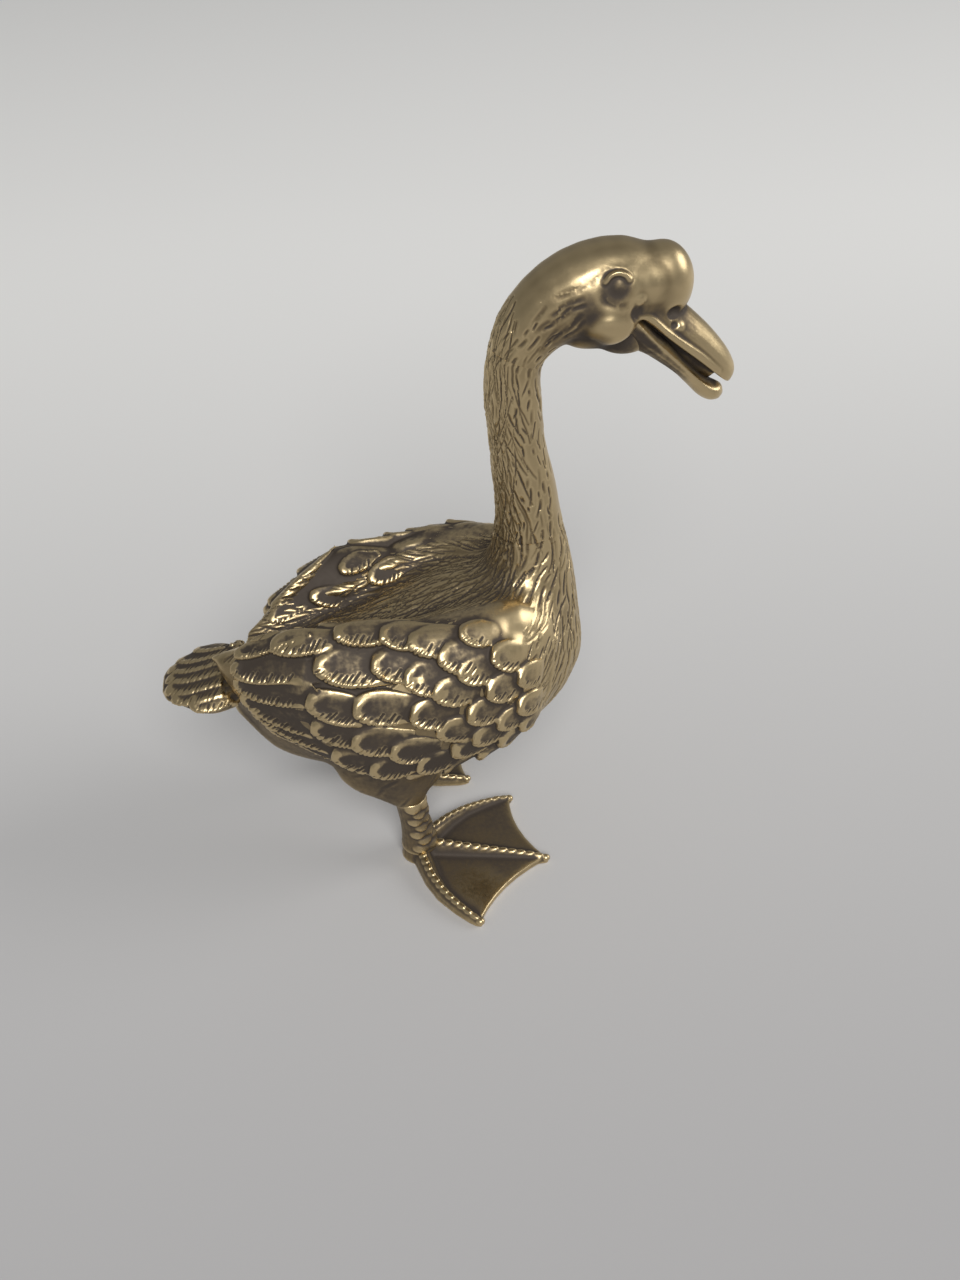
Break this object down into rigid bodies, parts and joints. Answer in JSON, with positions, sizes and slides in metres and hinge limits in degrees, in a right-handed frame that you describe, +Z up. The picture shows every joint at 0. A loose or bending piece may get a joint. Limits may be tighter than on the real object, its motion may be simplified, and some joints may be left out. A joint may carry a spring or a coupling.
{
  "type": "goose figurine",
  "caption": "Small standing goose in aged cast brass, neck upright, bill a little open, wings folded over the back, on two webbed feet.",
  "frame": {"origin": "on the ground, under the middle of the goose's bounding box", "axes": "+X the way the goose faces, +Y its left side, +Z up"},
  "size_m": [0.0472, 0.0318, 0.055],
  "materials": {
    "antique_brass": "aged, dark in the recesses, rubbed bright on the high spots"
  },
  "bodies": {
    "root": {"torso": "antique_brass", "neck": "antique_brass", "head": "antique_brass", "lower_bill": "antique_brass", "right_wing": "antique_brass", "left_wing": "antique_brass", "tail": "antique_brass", "right_leg": "antique_brass", "left_leg": "antique_brass", "right_foot": "antique_brass", "left_foot": "antique_brass"}
  },
  "joints": []
}
